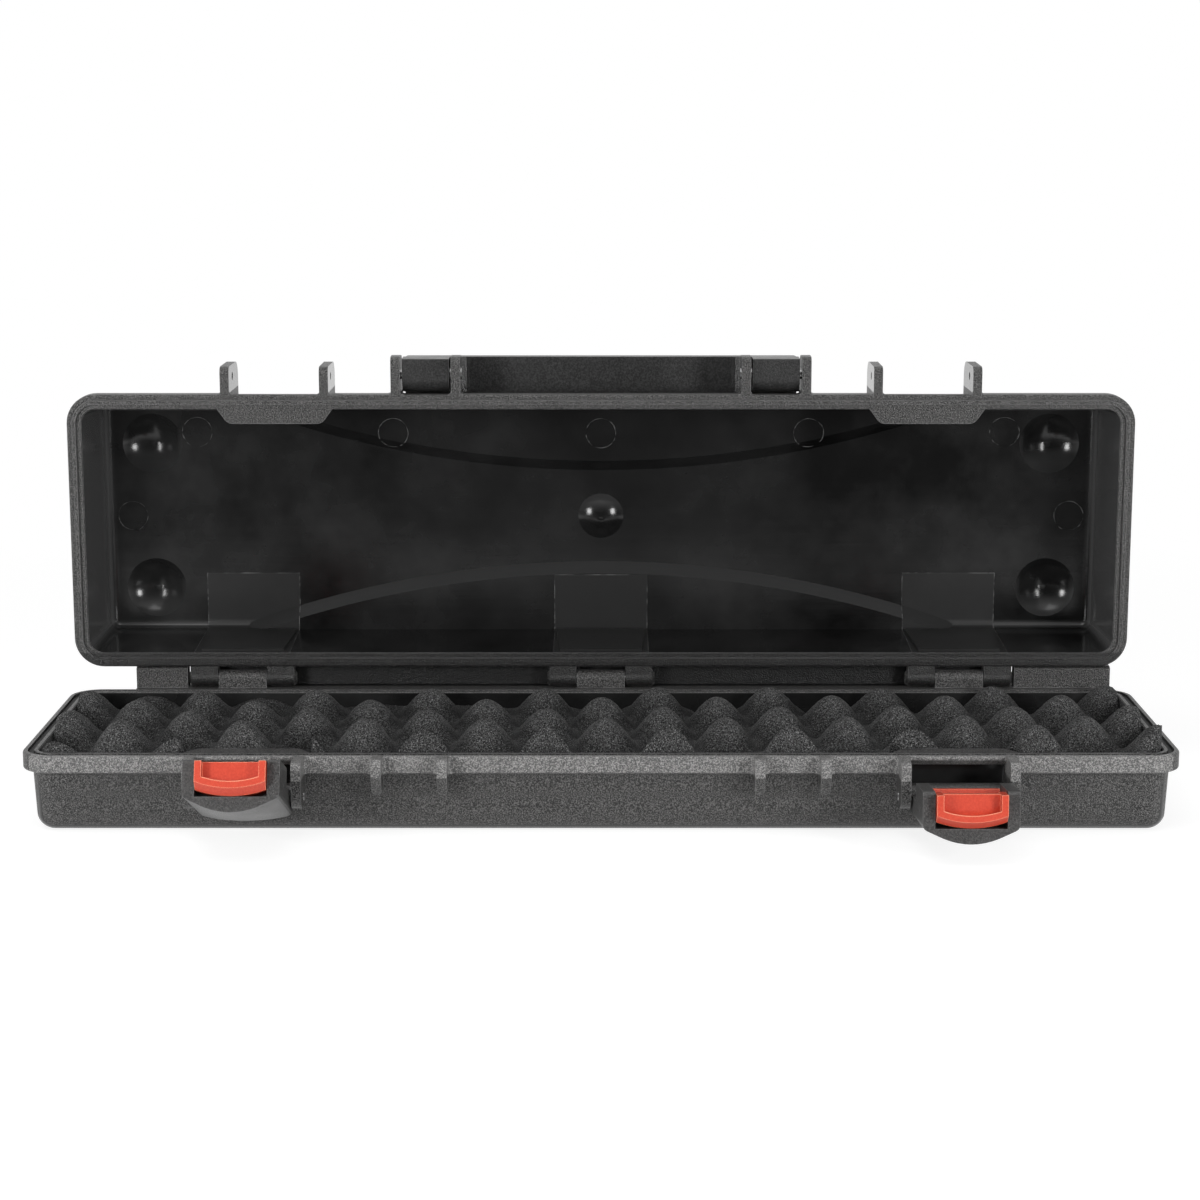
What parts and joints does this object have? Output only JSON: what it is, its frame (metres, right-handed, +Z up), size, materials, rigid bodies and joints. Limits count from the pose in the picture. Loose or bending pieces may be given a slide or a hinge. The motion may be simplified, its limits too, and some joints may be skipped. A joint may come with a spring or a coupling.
{
  "type": "microphone case",
  "caption": "Long moulded hard case with egg-crate foam, a pinned hinged lid, over-centre latches with sprung triggers and a folding handle.",
  "frame": {"origin": "middle of the flat face that the shallow shell rests on", "axes": "+X along the case, -Y towards the latches, +Z up; the deep shell is open at 90 degrees"},
  "size_m": [0.4, 0.1925, 0.1541],
  "materials": {
    "shell_black": "black moulded polypropylene, fine grain outside, glossy inside",
    "foam_charcoal": "open-cell egg-crate foam, charcoal",
    "seal_rubber": "matt black rubber",
    "pin_steel": "bright drawn steel",
    "handle_black": "satin black plastic",
    "latch_black": "fine-grained black plastic",
    "trigger_red": "orange-red plastic"
  },
  "bodies": {
    "shallow": {"shallow_shell": "shell_black", "foam_insert": "foam_charcoal", "seal_ring": "seal_rubber", "hinge_pin_left": "pin_steel", "hinge_pin_center": "pin_steel", "hinge_pin_right": "pin_steel", "latch_pin_left": "pin_steel", "latch_pin_right": "pin_steel"},
    "deep": {"deep_shell": "shell_black", "handle_pin_left": "pin_steel", "handle_pin_right": "pin_steel"},
    "handle": {"handle": "handle_black"},
    "lever_left": {"latch_lever_left": "latch_black", "trigger_pin_left": "pin_steel", "trigger_spring_left": "pin_steel"},
    "lever_right": {"latch_lever_right": "latch_black", "trigger_pin_right": "pin_steel", "trigger_spring_right": "pin_steel"},
    "trigger_left": {"latch_trigger_left": "trigger_red"},
    "trigger_right": {"latch_trigger_right": "trigger_red"}
  },
  "joints": [
    {"name": "case_hinge", "type": "hinge", "parent": "shallow", "child": "deep", "pos_m": [0, 0.0569, 0.0312], "axis": [1, 0, 0], "range_deg": [0, 90]},
    {"name": "handle_fold", "type": "hinge", "parent": "deep", "child": "handle", "pos_m": [0, 0.06195, 0.1471], "axis": [1, 0, 0], "range_deg": [0, 90]},
    {"name": "latch_left_swing", "type": "hinge", "parent": "shallow", "child": "lever_left", "pos_m": [-0.122, -0.0535, 0.0144], "axis": [1, 0, 0], "range_deg": [-67, 27]},
    {"name": "latch_right_swing", "type": "hinge", "parent": "shallow", "child": "lever_right", "pos_m": [0.122, -0.0535, 0.0144], "axis": [1, 0, 0], "range_deg": [-84, 10]},
    {"name": "trigger_left_press", "type": "hinge", "parent": "lever_left", "child": "trigger_left", "pos_m": [-0.122, -0.07743, 0.02456], "axis": [-1, 0, 0], "range_deg": [0, 6], "stiffness_Nm_per_rad": 0.05, "springref_deg": -6.88},
    {"name": "trigger_right_press", "type": "hinge", "parent": "lever_right", "child": "trigger_right", "pos_m": [0.122, -0.07936, 0.01712], "axis": [-1, 0, 0], "range_deg": [0, 6], "stiffness_Nm_per_rad": 0.05, "springref_deg": -6.88}
  ]
}
